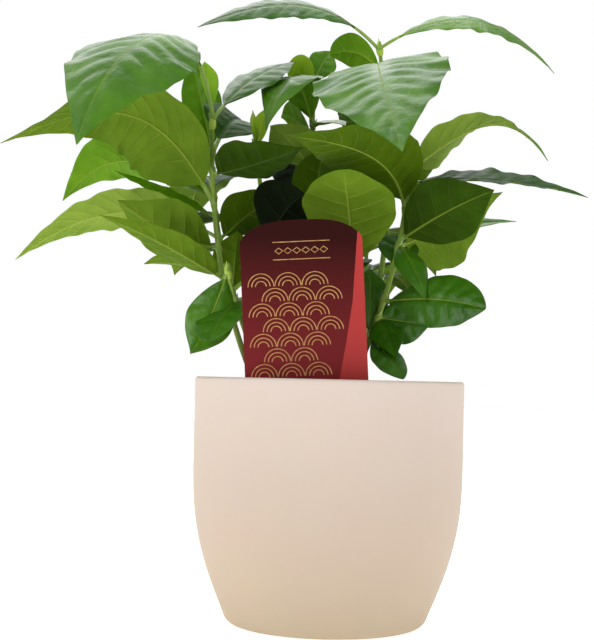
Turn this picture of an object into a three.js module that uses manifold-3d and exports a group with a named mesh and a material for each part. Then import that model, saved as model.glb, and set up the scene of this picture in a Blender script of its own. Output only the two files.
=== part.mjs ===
import * as THREE from "three";
import { mergeVertices } from "three/addons/utils/BufferGeometryUtils.js";
import Module from "manifold-3d";

// A potted coffee plant: a clump of seedlings in a round cover pot, with a plain plant label.
// Millimetres, +Z up, the front of the pot faces -Y, the pot stands on Z = 0 about the Z axis.

const wasm = await Module();
wasm.setup();

// Pot
const POT_RADIUS = 70;
const POT_HEIGHT = 126;
const POT_WALL = 4;
const POT_FLOOR = 6;
const FOOT_RADIUS = 51.4;
const FOOT_CORNER = 4;
const BELLY_HEIGHT = 82;
const BELLY_EASE = 2.46;
const BELLY_ROUND = 1.25;
const RIM_EASE = 0.8;
const POT_SIDES = 64;
const LEVELS = [POT_FLOOR, 14, 25, 38, 54, BELLY_HEIGHT];

// Soil
const GAP = 0.3;
const SOIL_TOP = 114;

// Plant label
const LABEL_WIDTH = 60;
const LABEL_SHOULDER = 77;
const LABEL_HEIGHT = 87.5;
const LABEL_THICK = 1.2;
const LABEL_AT = [-10.5, -50, 116.4];
const LABEL_LEAN = 3.7;

// Seedling stems
const STEM_FOOT = 2.1;
const STEM_TIP = 1.2;
const FLARE = 1.1;
const FLARE_HEIGHT = 5;
const STEM_SIDES = 8;
const BUD_LENGTH = 9;
const BUD_RADIUS = 1.7;

// Leaves
const PETIOLE = 0.07;
const PETIOLE_HALF = 1.2;
const LEAF_THICK = 0.016;
const LEAF_LEAST = 1.3;
const LEAF_STATIONS = [0.05, 0.15, 0.28, 0.42, 0.56, 0.7, 0.83, 0.93];

const rad = (degrees) => (degrees * Math.PI) / 180;

// Each seedling rises from its foot to its tip: foot x, foot y, tip x, tip y, tip height,
// how soon it turns upright, and how far it bows towards +X on the way.
const SEEDLINGS = {
  left_front: [-34, -9, -63, -18, 262, 2.5, 0],
  left_back: [-26, 12, -66, 20, 252, 2.1, 0],
  left_small: [-28, -28, -53, -32, 184, 1.3, 0],
  right_tall: [12, 8, 22, 0, 306, 1.0, 11.5],
  right_front: [6, -30, 39, -12, 244, 1.9, 0],
  middle_bud: [-22, 2, -43, -9, 265, 1.1, 0],
  middle_tall: [-8, 22, -12, 19, 289, 2.0, 0],
  middle_small: [1, 0, 12, -8, 188, 1.3, 0],
  back_right: [16, 36, 18, 48, 216, 1.5, 2],
  back_left: [-28, 36, -36, 50, 222, 1.5, 0],
};

// The masses of leaves up each seedling, from the height where each begins.
// A leaf is: height of its node, heading, reach, rise, width, arch, roll, cup, and other shape.
// Headings count from +X towards +Y in degrees; a roll above 0 lifts the leaf's left side.
const MASSES = {
  left_front: [
    [168, [
      [176, 219, 74, 27, 20, 2, 30, 0.3, { peak: 0.6 }],
      [192, 189, 52, 23, 40, -4, 45, 0.15],
    ]],
    [200, [
      [214, 172, 117, 33, 55, 34, 40, -0.24,
        { skew: 0.15, square: -0.03, early: 0.1, twist: -80, peak: 0.6 }],
      [230, 334, 52, 11, 40, -1, -18, 0.15, { peak: 0.72 }],
      [240, 75, 50, 26, 34, 8, 30, 0.2, { petiole: 0.2 }],
      [258, 241, 108, -30, 74, 47, -12, -0.25,
        { skew: 0.05, square: 0.16, early: 0.05, twist: -20, peak: 1.5, tip: 0.35, petiole: 0.2 }],
      [258, 39, 53, 39, 31, 7, 15, -0.1, { skew: 0.3, petiole: 0.13 }],
      [259, 120, 12, 32, 11, 3, 0, 0.3, { peak: 1.2 }],
    ]],
  ],
  left_back: [
    [167, [
      [172, 280, 18, 31, 24, 2, 0, 0.2],
      [178, 156, 54, 10, 24, 4, 20, 0.2],
      [190, 118, 72, -5, 40, 12, 0, 0.1],
    ]],
    [195, [
      [200, 193, 108, -15, 36, 20, 31, 0.1],
      [200, 350, 32, 25, 36, 2, -30, 0.1],
      [212, 161, 64, 28, 22, 0, -12, 0.1],
      [222, 158, 97, 2, 50, 22, 28, 0.15, { skew: -0.3 }],
      [226, 105, 90, -10, 40, 18, 0, 0.1],
      [246, 149, 17, 56, 22, 2, -50, 0.1],
    ]],
  ],
  left_small: [
    [134, [
      [164, 238, 22, -21, 27, 2, 0, 0.1, { kind: "round", petiole: 0.02 }],
      [179, 213, 20, -42, 25, -4, -60, -0.2],
    ]],
  ],
  right_tall: [
    [168, [
      [178, 66, 50, -6, 28, 8, 0, 0.1],
    ]],
    [216, [
      [232, 78, 68, -5, 40, 14, 0, 0.1],
      [262, 97, 86, -10, 42, 16, 0, 0.1],
    ]],
    [270, [
      [289, 162, 29, 10, 20, 6, 52, 0.1, { kind: "blunt" }],
      [289, 273, 113, -61, 69, 17, 15, -0.05, { skew: 0.05, peak: 0.9, bow: -6, twist: 6 }],
      [300, 192, 97, 6, 28, 18, -35, -0.15, { skew: 0.28, petiole: 0.15 }],
      [301, 7, 95, -9, 33, 22, 28, -0.1, { skew: -0.1, peak: 1, petiole: 0.11 }],
    ]],
  ],
  right_front: [
    [142, [
      [147, 316, 23, -20, 18, 2, 20, -0.2, { kind: "blunt" }],
      [147, 91, 15, 37, 22, 6, 10, -0.2],
      [158, 18, 29, -3, 26, 0, 75, 0.1],
      [158, 302, 17, -21, 17, 2, 20, -0.15],
      [166, 325, 59, -4, 30, 3, 65, -0.12, { kind: "blunt" }],
    ]],
    [176, [
      [184, 70, 16, 18, 22, 2, 20, 0.1],
      [194, 36, 72, 36, 50, 0, -70, -0.2, { peak: 0.75, tip: 0.5 }],
      [196, 300, 26, -30, 17, 4, 10, -0.2],
      [198, 326, 54, 23, 38, 2, -50, 0.1],
    ]],
    [206, [
      [214, 228, 89, 26, 46, 16, 25, 0.1, { skew: 0.14, early: 0.25 }],
      [228, 357, 92, -6, 45, 5, 17, 0.1],
      [234, 14, 77, 10, 44, 21, -8, -0.1, { skew: -0.35, twist: 100, peak: 0.7 }],
    ]],
  ],
  middle_bud: [
    [188, [
      [195, 313, 30, 24, 38, 6, -50, 0.1],
      [246, 320, 7, 20, 9, 2, -30, 0.3, { petiole: 0.02 }],
      [246, 150, 3, 17, 8, 1, 20, 0.3, { petiole: 0.02 }],
    ]],
  ],
  middle_tall: [
    [176, [
      [182, 92, 66, -8, 32, 8, 0, 0.1],
      [196, 175, 42, 0, 28, 6, 0, 0.1],
    ]],
    [206, [
      [214, 287, 19, 35, 28, 2, 0, 0.1],
      [238, 229, 34, 20, 26, 3, 30, 0.1],
      [240, 100, 95, -12, 44, 20, 0, 0.1],
    ]],
    [249, [
      [256, 132, 27, 15, 24, 4, 60, -0.1],
      [262, 232, 25, 13, 26, 14, 0, -0.1],
      [262, 306, 30, -3, 20, 3, 10, -0.1],
      [284, 242, 50, -32, 34, 16, 0, -0.1, { skew: -0.3 }],
      [282, 160, 15, 7, 22, 6, 55, 0.1],
      [286, 62, 19, 22, 16, 2, 40, 0.1],
    ]],
  ],
  middle_small: [
    [174, [
      [180, 100, 34, 6, 26, 6, 0, 0.1],
      [182, 261, 43, 47, 48, 2, 0, 0.12, { kind: "blunt" }],
    ]],
  ],
  back_right: [
    [158, [
      [165, 12, 34, -8, 24, 8, 0, 0.1],
      [184, 80, 75, -12, 38, 14, 0, 0.1],
    ]],
    [190, [
      [198, 8, 86, 20, 20, 4, 30, 0.1],
      [205, 56, 80, -15, 42, 14, 0, 0.1],
      [210, 112, 72, 0, 36, 14, 0, 0.1],
    ]],
  ],
  back_left: [
    [158, [
      [165, 190, 45, -10, 26, 8, 0, 0.1],
      [165, 75, 55, -14, 30, 8, 0, 0.1],
      [188, 112, 76, -14, 38, 12, 0, 0.1],
    ]],
    [198, [
      [206, 84, 78, -14, 40, 14, 0, 0.1],
      [210, 165, 70, -10, 38, 10, 0, 0.1],
    ]],
  ],
};
const TIERS = { 1: ["leaves"], 2: ["low", "top"], 3: ["low", "middle", "top"] };

// A closed solid from its corner points and triangles, made a manifold body.
function solid(points, triangles) {
  const made = new wasm.Manifold(
    new wasm.Mesh({
      numProp: 3,
      vertProperties: new Float32Array(points.flat()),
      triVerts: new Uint32Array(triangles.flat()),
    }),
  );
  return made;
}

// Skins a row of closed rings of equal count; each end is capped, or drawn to a point if one is given.
function loft(rings, tip) {
  const n = rings[0].length;
  const points = rings.flat();
  const triangles = [];
  for (let i = 0; i + 1 < rings.length; i++) {
    for (let j = 0; j < n; j++) {
      const a = i * n + j;
      const b = i * n + ((j + 1) % n);
      triangles.push([a, b, b + n], [a, b + n, a + n]);
    }
  }
  for (let j = 1; j + 1 < n; j++) {
    triangles.push([0, j + 1, j]);
  }
  const last = (rings.length - 1) * n;
  if (tip) {
    points.push(tip);
    for (let j = 0; j < n; j++) {
      triangles.push([last + j, last + ((j + 1) % n), points.length - 1]);
    }
  } else {
    for (let j = 1; j + 1 < n; j++) {
      triangles.push([last, last + j, last + j + 1]);
    }
  }
  return solid(points, triangles);
}

// Turns a profile of [radius, height] about the Z axis; it starts and ends on the axis.
function revolve(profile, sides) {
  const points = [];
  const triangles = [];
  const rows = profile.map(([r, z]) => {
    if (r === 0) {
      points.push([0, 0, z]);
      return [points.length - 1];
    }
    const row = [];
    for (let j = 0; j < sides; j++) {
      const a = (2 * Math.PI * j) / sides;
      points.push([r * Math.cos(a), r * Math.sin(a), z]);
      row.push(points.length - 1);
    }
    return row;
  });
  for (let i = 0; i + 1 < rows.length; i++) {
    const p = rows[i];
    const q = rows[i + 1];
    for (let j = 0; j < sides; j++) {
      const k = (j + 1) % sides;
      if (p.length > 1) {
        triangles.push([p[j], p[k], q.length > 1 ? q[k] : q[0]]);
      }
      if (q.length > 1) {
        triangles.push([p.length > 1 ? p[j] : p[0], q[k], q[j]]);
      }
    }
  }
  return solid(points, triangles);
}

// Outer radius of the pot at a height: a round foot corner, an easing belly, then upright.
function potRadius(z) {
  const t = Math.min(1, z / BELLY_HEIGHT);
  const swell = Math.pow(1 - Math.pow(1 - t, BELLY_EASE), BELLY_ROUND);
  const r = FOOT_RADIUS + (POT_RADIUS - FOOT_RADIUS) * swell;
  const c = Math.max(0, FOOT_CORNER - z);
  return r - FOOT_CORNER + Math.sqrt(FOOT_CORNER * FOOT_CORNER - c * c);
}

function potSolid() {
  const profile = [[0, 0]];
  for (const z of [0, 1, 3, ...LEVELS, POT_HEIGHT - RIM_EASE]) {
    profile.push([potRadius(z), z]);
  }
  profile.push([POT_RADIUS - RIM_EASE, POT_HEIGHT]);
  profile.push([POT_RADIUS - POT_WALL + RIM_EASE, POT_HEIGHT]);
  for (const z of [POT_HEIGHT - RIM_EASE, ...LEVELS.toReversed()]) {
    profile.push([potRadius(z) - POT_WALL, z]);
  }
  profile.push([0, POT_FLOOR]);
  return revolve(profile, POT_SIDES);
}

function soilSolid() {
  const profile = [[0, POT_FLOOR + GAP]];
  for (const z of [POT_FLOOR + GAP, ...LEVELS.slice(1), SOIL_TOP]) {
    profile.push([potRadius(z) - POT_WALL - GAP, z]);
  }
  profile.push([0, SOIL_TOP]);
  return revolve(profile, POT_SIDES);
}

// A flat card with square lower corners and a domed top, leaning to the left.
function labelSolid() {
  const half = LABEL_WIDTH / 2;
  const outline = [[-half, 0], [half, 0]];
  const steps = 14;
  for (let i = 0; i <= steps; i++) {
    const u = Math.cos((Math.PI * i) / steps);
    const v = Math.pow(1 - Math.pow(Math.abs(u), 3), 0.667);
    outline.push([u * half, LABEL_SHOULDER + (LABEL_HEIGHT - LABEL_SHOULDER) * v]);
  }
  const c = Math.cos(rad(LABEL_LEAN));
  const s = Math.sin(rad(LABEL_LEAN));
  const ring = (depth) => outline.map(([u, v]) => [
    LABEL_AT[0] + u * c - v * s,
    LABEL_AT[1] + depth,
    LABEL_AT[2] + u * s + v * c,
  ]);
  return loft([ring(LABEL_THICK / 2), ring(-LABEL_THICK / 2)]);
}

// The middle of a seedling's stem at a height.
function stemAt(name, z) {
  const [footX, footY, tipX, tipY, tipZ, ease, bow] = SEEDLINGS[name];
  const s = (z - SOIL_TOP) / (tipZ - SOIL_TOP);
  const g = 1 - Math.pow(1 - s, ease);
  const x = footX + (tipX - footX) * g + bow * Math.sin(Math.PI * s);
  return [x, footY + (tipY - footY) * g, z];
}

function stemRadius(name, z) {
  const tipZ = SEEDLINGS[name][4];
  const s = (z - SOIL_TOP) / (tipZ - SOIL_TOP);
  return STEM_FOOT + (STEM_TIP - STEM_FOOT) * s + FLARE * Math.exp(-(z - SOIL_TOP) / FLARE_HEIGHT);
}

// A length of stem between two heights; the topmost length ends in a pointed bud.
function stemSolid(name, low, high, steps) {
  const bud = high >= SEEDLINGS[name][4];
  const heights = [];
  const end = bud ? high - BUD_LENGTH : high;
  for (let i = 0; i <= steps; i++) {
    heights.push(low + ((end - low) * i) / steps);
  }
  const circle = (z, r) => {
    const [x, y] = stemAt(name, Math.min(z, SEEDLINGS[name][4] - 0.01));
    const ring = [];
    for (let j = 0; j < STEM_SIDES; j++) {
      const a = (2 * Math.PI * (j + 0.5)) / STEM_SIDES;
      ring.push([x + r * Math.cos(a), y + r * Math.sin(a), z]);
    }
    return ring;
  };
  const rings = heights.map((z) => circle(z, stemRadius(name, z)));
  if (bud) {
    rings.push(circle(high - BUD_LENGTH * 0.65, BUD_RADIUS));
    rings.push(circle(high - BUD_LENGTH * 0.3, BUD_RADIUS * 0.7));
    rings.push(circle(high, 0.35));
  }
  return loft(rings);
}

// Half width of a blade, as a share of its greatest, along its length from 0 to 1;
// tip is the share by which its last half is drawn in.
function bladeWidth(u, kind, peak, tip) {
  if (kind === "round") {
    const d = 2 * Math.pow(u, 0.9) - 1;
    return Math.sqrt(Math.max(0, 1 - d * d));
  }
  if (kind === "blunt") {
    return Math.pow(Math.max(0, Math.sin(Math.PI * Math.pow(u, 1.15))), 0.7);
  }
  const swell = Math.pow(Math.max(0, Math.sin(Math.PI * Math.pow(u, peak))), 0.9);
  return swell * (1 - 0.45 * Math.pow(u, 5)) * (1 - tip * THREE.MathUtils.smoothstep(u, 0.45, 0.95));
}

// One leaf: its midrib is a cubic curve from the stem's middle over an arch to the tip,
// and each station across it is a thin diamond from margin to margin.
function leafSolid(name, row) {
  const [z, heading, reach, rise, width, arch, roll, cup, more] = row;
  const shape = { skew: 0, square: 0, early: 0, bow: 0, twist: 0, tip: 0, ...more };
  const petiole = shape.petiole ?? PETIOLE;
  const peak = shape.peak ?? 0.85;
  const along = new THREE.Vector3(Math.cos(rad(heading)), Math.sin(rad(heading)), 0);
  const left = new THREE.Vector3(-along.y, along.x, 0);
  const base = new THREE.Vector3(...stemAt(name, z));
  const chord = along.clone().multiplyScalar(reach);
  chord.z = rise;
  const handle = (share, lift) => {
    const at = base.clone().addScaledVector(chord, share);
    at.z += lift;
    return at.addScaledVector(left, (shape.bow * 4) / 3);
  };
  const curve = new THREE.CubicBezierCurve3(
    base,
    handle(1 / 3 - shape.square - shape.early, ((arch * 4) / 3) * (1 + shape.skew)),
    handle(2 / 3 + shape.square - shape.early, ((arch * 4) / 3) * (1 - shape.skew)),
    base.clone().add(chord),
  );
  const length = curve.getLength();
  const thick = Math.max(LEAF_LEAST, LEAF_THICK * length);
  const lean = Math.sqrt(Math.max(0.2, 1 - cup * cup * 0.8));
  const ring = (t, half, deep) => {
    const at = curve.getPoint(t);
    const tangent = derivative(curve, t).normalize();
    const up = tangent.clone().cross(left).normalize();
    const turn = rad(roll + shape.twist * (t - 0.5));
    const side = left.clone().multiplyScalar(Math.cos(turn)).addScaledVector(up, Math.sin(turn));
    const face = up.clone().multiplyScalar(Math.cos(turn)).addScaledVector(left, -Math.sin(turn));
    const place = (across, high) => {
      const p = at.clone().addScaledVector(side, across * lean).addScaledVector(face, high);
      return [p.x, p.y, p.z];
    };
    const lift = half * cup;
    return [place(half, lift), place(0, deep / 2), place(-half, lift), place(0, -deep / 2)];
  };
  const rings = [ring(0.004, PETIOLE_HALF, 1.6), ring(petiole, PETIOLE_HALF, 1.6)];
  for (const u of LEAF_STATIONS) {
    const t = petiole + (1 - petiole) * u;
    const half = Math.max(PETIOLE_HALF * 0.6, (width / 2) * bladeWidth(u, shape.kind, peak, shape.tip));
    rings.push(ring(t, half, thick * (1 - 0.35 * u)));
  }
  return loft(rings, curve.getPoint(1).toArray());
}

function derivative(curve, t) {
  const s = 1 - t;
  const a = curve.v1.clone().sub(curve.v0).multiplyScalar(3 * s * s);
  const b = curve.v2.clone().sub(curve.v1).multiplyScalar(6 * s * t);
  const c = curve.v3.clone().sub(curve.v2).multiplyScalar(3 * t * t);
  return a.add(b).add(c);
}

// A named mesh from a manifold body, with corners shared between its faces.
function toMesh(name, body, colour) {
  const mesh = body.getMesh();
  const points = new Float32Array(mesh.numVert * 3);
  for (let i = 0; i < mesh.numVert; i++) {
    for (let k = 0; k < 3; k++) {
      points[i * 3 + k] = mesh.vertProperties[i * mesh.numProp + k];
    }
  }
  let geometry = new THREE.BufferGeometry();
  geometry.setAttribute("position", new THREE.BufferAttribute(points, 3));
  geometry.setIndex(Array.from(mesh.triVerts));
  geometry = mergeVertices(geometry, 1e-4);
  geometry.computeVertexNormals();
  const made = new THREE.Mesh(geometry, new THREE.MeshStandardMaterial({ color: colour, roughness: 0.6 }));
  made.name = name;
  return made;
}

const plant = new THREE.Group();
plant.name = "potted_coffee_plant";
plant.add(toMesh("pot", potSolid(), 0xe6d3bf));
plant.add(toMesh("soil", soilSolid(), 0x3a2a1e));
plant.add(toMesh("label", labelSolid(), 0x7c2230));

for (const [name, masses] of Object.entries(MASSES)) {
  const tip = SEEDLINGS[name][4];
  const first = masses[0][0];
  plant.add(toMesh(`stem_${name}`, stemSolid(name, SOIL_TOP + GAP, first, 4), 0x6f7d3a));
  masses.forEach(([from, leaves], i) => {
    const to = i + 1 < masses.length ? masses[i + 1][0] : tip;
    let body = stemSolid(name, from + GAP, to, 3);
    for (const leaf of leaves) {
      body = body.add(leafSolid(name, leaf));
    }
    const tier = TIERS[masses.length][i];
    const title = tier === "leaves" ? `leaves_${name}` : `leaves_${name}_${tier}`;
    plant.add(toMesh(title, body, 0x3f7a2c));
  });
}

export default plant;
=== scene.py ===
"""Looks of a potted arabica coffee plant: a clump of ten seedlings in a cream ceramic pot, with a plant label.

Lengths are in millimetres until make_piece turns them to metres. The pot's axis is Z and the camera looks along +Y.
The seedlings and leaves follow the same table and the same rule as the CAD source, with finer blades, ribs and edges.
"""

import math
from itertools import combinations
from random import Random
from types import SimpleNamespace

import bpy
import numpy as np
from mathutils import Matrix, Vector


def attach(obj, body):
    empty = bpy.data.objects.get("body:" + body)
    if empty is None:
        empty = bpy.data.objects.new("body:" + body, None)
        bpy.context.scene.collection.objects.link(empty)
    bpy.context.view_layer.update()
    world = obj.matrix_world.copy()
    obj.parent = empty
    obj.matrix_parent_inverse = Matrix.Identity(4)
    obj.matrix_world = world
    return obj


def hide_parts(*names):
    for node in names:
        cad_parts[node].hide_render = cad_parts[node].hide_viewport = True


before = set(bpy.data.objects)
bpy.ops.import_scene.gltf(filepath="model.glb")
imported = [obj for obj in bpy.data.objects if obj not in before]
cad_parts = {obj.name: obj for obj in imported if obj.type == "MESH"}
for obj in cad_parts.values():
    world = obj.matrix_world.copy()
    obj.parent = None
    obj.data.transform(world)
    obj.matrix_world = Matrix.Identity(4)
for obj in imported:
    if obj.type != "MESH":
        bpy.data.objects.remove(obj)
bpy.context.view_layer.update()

MM = 0.001

# Pot, in the CAD source's own values
POT_RADIUS = 70
POT_HEIGHT = 126
POT_WALL = 4
POT_FLOOR = 6
FOOT_RADIUS = 51.4
FOOT_CORNER = 4
BELLY_HEIGHT = 82
BELLY_EASE = 2.46
BELLY_ROUND = 1.25
RIM_ROUND = 1.6
POT_SIDES = 224
FOOT_ROWS = 8
WALL_ROWS = 60
RIM_ROWS = 7
INNER_ROWS = 24

# Growing medium
SOIL_TOP = 114
SOIL_GAP = 0.4
SOIL_LUMP = 1.1
SOIL_SIDES = 180
SOIL_ROWS = 64
# Size in mm, seed, count of waves and share of the ripples that make its lumps
SOIL_RIPPLES = ((17, 1, 9, 0.9), (6, 2, 9, 0.7), (2.4, 3, 16, 0.6))
CRUMBS = 1500
CRUMB_SIZE = (0.7, 2.4)
CRUMB_GAP = 3
CARD_GAP = (33, 2)

# Plant label: a card 60 mm wide that leans a little to the left
CARD_WIDTH = 60
CARD_SHOULDER = 77
CARD_DOME = 10.5
CARD_THICK = 0.8
CARD_FOOT = (-10.5, -50, 116.4)
CARD_LEAN = 3.7
CARD_BEND = 0.45
STRIPE_EDGE = ((0, 14), (25, 20), (45, 24), (88, 28.6))
PRINT_WIDTH = 0.5
PRINT_RAISE = 0.05
PRINT_LEFT = -27
PRINT_GAP = 2
SCALE_RADIUS = 6.6
SCALE_ARCS = (0.96, 0.68, 0.4)
SCALE_ROWS = 7
SCALE_COLUMNS = 4
SCALE_STEP = 1.12
SCALE_FOOT = 11
# Across the card: first, last and count of the diamonds, then first, end and step of the bars
DIAMONDS = (-11, 11, 6)
BARS = (-15, 10, 3.4)
DIAMOND_HEIGHT = 72.5
DIAMOND_HALF = (1.9, 1.5)
RULES = (68.2, 76.8)
RULE_HALF = 14
BAR_FOOT = 1.5
BAR_TOPS = (6.4, 8.6)
BAR_WIDTH = 1.3

# Stems
STEM_FOOT = 1.75
STEM_TIP = 0.95
FLARE = 1.1
FLARE_HEIGHT = 5
BARK_HEIGHTS = (14, 150)
BUD_LENGTH = 9
BUD_RADIUS = 1.7
BUD_FLAT = 0.75
NODE_SWELL = 0.55
NODE_LENGTH = 1.7
STEM_GROOVE = 0.09
GROOVE_SIZE = 2.6
GROOVE_RUN = 0.22
STEM_RINGS = 150
STEM_SIDES = 20
STIPULE_FOOT = 1.25
STIPULE_LEAN = 1.5
STIPULE_LENGTH = 4.2
STIPULE_HALF = 1.5
STIPULE_FLAT = 0.28

# Leaves
PETIOLE = 0.07
PETIOLE_HALF = 1.15
PETIOLE_DEEP = 0.85
BLADE_HALF_THICK = 0.17
BLADE_ROWS = (56, 132)
BLADE_COLUMNS = 23
RIB_SPACING = 8.5
RIB_COUNT = (4, 13)
RIB_SWEEP = 0.13
RIB_STAGGER = 0.22
QUILT = 0.042
RUFFLE = 0.035
EDGE_WAVE = 0.014
FURROW = 0.35
FURROW_WIDTH = 1.3
MIDRIB = (0.8, 0.2)
MIDRIB_ROWS = 44
RIB = (0.26, 0.08)
RIB_ROWS = 14
RIB_SUNK = 0.18

# Seedlings: foot x, y, then tip x, y, z, how early the stem leans out, and its bow to the right
SEEDLINGS = {
    "left_front": (-34, -9, -63, -18, 262, 2.5, 0),
    "left_back": (-26, 12, -66, 20, 252, 2.1, 0),
    "left_small": (-28, -28, -53, -32, 184, 1.3, 0),
    "right_tall": (12, 8, 22, 0, 306, 1.0, 11.5),
    "right_front": (6, -30, 39, -12, 244, 1.9, 0),
    "middle_bud": (-22, 2, -43, -9, 265, 1.1, 0),
    "middle_tall": (-8, 22, -12, 19, 289, 2.0, 0),
    "middle_small": (1, 0, 12, -8, 188, 1.3, 0),
    "back_right": (16, 36, 18, 48, 216, 1.5, 2),
    "back_left": (-28, 36, -36, 50, 222, 1.5, 0),
}

# Leaves of each seedling: height of the node, heading, reach, rise, width, arch, roll, cup, tone (dark -1 to light 1,
# partly the leaf's age from old to young and partly painted shade and light, set leaf by leaf), then, for some, what is
# their own: see leaf_form
LEAVES = {
    "left_front": [
        (176, 219, 74, 27, 20, 2, 30, 0.3, 0.1, dict(peak=0.6)),
        (192, 189, 52, 23, 40, -4, 45, 0.15, 0.1),
        (214, 172, 117, 33, 55, 34, 40, -0.24, 0.1, dict(skew=0.15, square=-0.03, early=0.1, twist=-80, peak=0.6)),
        (230, 334, 52, 11, 40, -1, -18, 0.15, -0.4, dict(peak=0.72)),
        (240, 75, 50, 26, 34, 8, 30, 0.2, -0.4, dict(petiole=0.2, quilt=0.02)),
        (258, 241, 108, -30, 74, 47, -12, -0.25, 0.1, dict(
            under=-0.4, skew=0.05, square=0.16, early=0.05, twist=-20, peak=1.5, tip=0.35, petiole=0.2)),
        (258, 39, 53, 39, 31, 7, 15, -0.1, -0.15, dict(skew=0.3, petiole=0.13)),
        (259, 120, 12, 32, 11, 3, 0, 0.3, 0.9, dict(peak=1.2)),
    ],
    "left_back": [
        (172, 280, 18, 31, 24, 2, 0, 0.2, -0.15),
        (178, 156, 54, 10, 24, 4, 20, 0.2, 0.1),
        (190, 118, 72, -5, 40, 12, 0, 0.1, 0.0),
        (200, 193, 108, -15, 36, 20, 31, 0.1, 0.3, dict(quilt=0.02, under=0.6)),
        (200, 350, 32, 25, 36, 2, -30, 0.1, -0.15),
        (212, 161, 64, 28, 22, 0, -12, 0.1, 0.6),
        (222, 158, 97, 2, 50, 22, 28, 0.15, 0.3, dict(quilt=0.02, skew=-0.3)),
        (226, 105, 90, -10, 40, 18, 0, 0.1, -0.65, dict(quilt=0.02, under=0.1)),
        (246, 149, 17, 56, 22, 2, -50, 0.1, 0.3),
    ],
    "left_small": [
        (164, 238, 22, -21, 27, 2, 0, 0.1, -0.15, dict(kind="round", petiole=0.02)),
        (179, 213, 20, -42, 25, -4, -60, -0.2, 0.1),
    ],
    "right_tall": [
        (178, 66, 50, -6, 28, 8, 0, 0.1, -0.15),
        (232, 78, 68, -5, 40, 14, 0, 0.1, 0.1),
        (262, 97, 86, -10, 42, 16, 0, 0.1, 0.2),
        (289, 162, 29, 10, 20, 6, 52, 0.1, 0.3, dict(kind="blunt")),
        (289, 273, 113, -61, 69, 17, 15, -0.05, 0.1, dict(skew=0.05, peak=0.9, bow=-6, twist=6)),
        (300, 192, 97, 6, 28, 18, -35, -0.15, -0.15, dict(quilt=0.022, skew=0.28, petiole=0.15)),
        (301, 7, 95, -9, 33, 22, 28, -0.1, 0.3, dict(quilt=0.012, skew=-0.1, peak=1, petiole=0.11)),
    ],
    "right_front": [
        (147, 316, 23, -20, 18, 2, 20, -0.2, -0.15, dict(kind="blunt")),
        (147, 91, 15, 37, 22, 6, 10, -0.2, -0.15),
        (158, 18, 29, -3, 26, 0, 75, 0.1, -0.15),
        (158, 302, 17, -21, 17, 2, 20, -0.15, -0.4),
        (166, 325, 59, -4, 30, 3, 65, -0.12, -0.15, dict(under=0.1, kind="blunt")),
        (184, 70, 16, 18, 22, 2, 20, 0.1, -0.15),
        (194, 36, 72, 36, 50, 0, -70, -0.2, 0.1, dict(peak=0.75, tip=0.5)),
        (196, 300, 26, -30, 17, 4, 10, -0.2, -0.15),
        (198, 326, 54, 23, 38, 2, -50, 0.1, -0.15, dict(under=-0.4)),
        (214, 228, 89, 26, 46, 16, 25, 0.1, 0.1, dict(under=-0.15, skew=0.14, early=0.25)),
        (228, 357, 92, -6, 45, 5, 17, 0.1, -0.4, dict(under=-0.15, quilt=0.015)),
        (234, 14, 77, 10, 36, 21, -8, 0.1, 0.3, dict(quilt=0.025, under=0.6, skew=-0.35, twist=100, peak=0.6)),
    ],
    "middle_bud": [
        (195, 313, 30, 24, 38, 6, -50, 0.1, -1),
        (246, 320, 7, 20, 9, 2, -30, 0.3, 0.9, dict(petiole=0.02)),
        (246, 150, 3, 17, 8, 1, 20, 0.3, 0.9, dict(petiole=0.02)),
    ],
    "middle_tall": [
        (182, 92, 66, -8, 32, 8, 0, 0.1, -0.1),
        (196, 175, 42, 0, 28, 6, 0, 0.1, -0.4),
        (214, 287, 19, 35, 28, 2, 0, 0.1, -0.15),
        (238, 229, 34, 20, 26, 3, 30, 0.1, -0.4, dict(under=0.6)),
        (240, 100, 95, -12, 44, 20, 0, 0.1, -0.65, dict(under=-1)),
        (256, 132, 27, 15, 24, 4, 60, -0.1, -0.15, dict(under=0.3)),
        (262, 232, 25, 13, 26, 14, 0, -0.1, 0.1, dict(under=0.3)),
        (262, 306, 30, -3, 20, 3, 10, -0.1, 0.0),
        (284, 242, 50, -32, 34, 16, 0, -0.1, 0.1, dict(skew=-0.3)),
        (282, 160, 15, 7, 22, 6, 55, 0.1, 0.6, dict(under=0.9)),
        (286, 62, 19, 22, 16, 2, 40, 0.1, 0.3),
    ],
    "middle_small": [
        (180, 100, 34, 6, 26, 6, 0, 0.1, -0.3),
        (182, 261, 43, 47, 48, 2, 0, 0.12, 0.1, dict(kind="blunt")),
    ],
}

# Leaves of the two seedlings at the back, which the photo doesn't show: the same values, with the tone drawn
HIDDEN_LEAVES = {
    "back_right": [
        (165, 12, 34, -8, 24, 8, 0, 0.1),
        (184, 80, 75, -12, 38, 14, 0, 0.1),
        (198, 8, 86, 20, 20, 4, 30, 0.1),
        (205, 56, 80, -15, 42, 14, 0, 0.1),
        (210, 112, 72, 0, 36, 14, 0, 0.1),
    ],
    "back_left": [
        (165, 190, 45, -10, 26, 8, 0, 0.1),
        (165, 75, 55, -14, 30, 8, 0, 0.1),
        (188, 112, 76, -14, 38, 12, 0, 0.1),
        (206, 84, 78, -14, 40, 14, 0, 0.1),
        (210, 165, 70, -10, 38, 10, 0, 0.1),
    ],
}
HIDDEN_TONES = (-0.3, 0.35)
hidden_tones = Random(4)
for name, rows in HIDDEN_LEAVES.items():
    LEAVES[name] = [(*row, round(hidden_tones.uniform(*HIDDEN_TONES), 1)) for row in rows]


# Shape helpers

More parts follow.
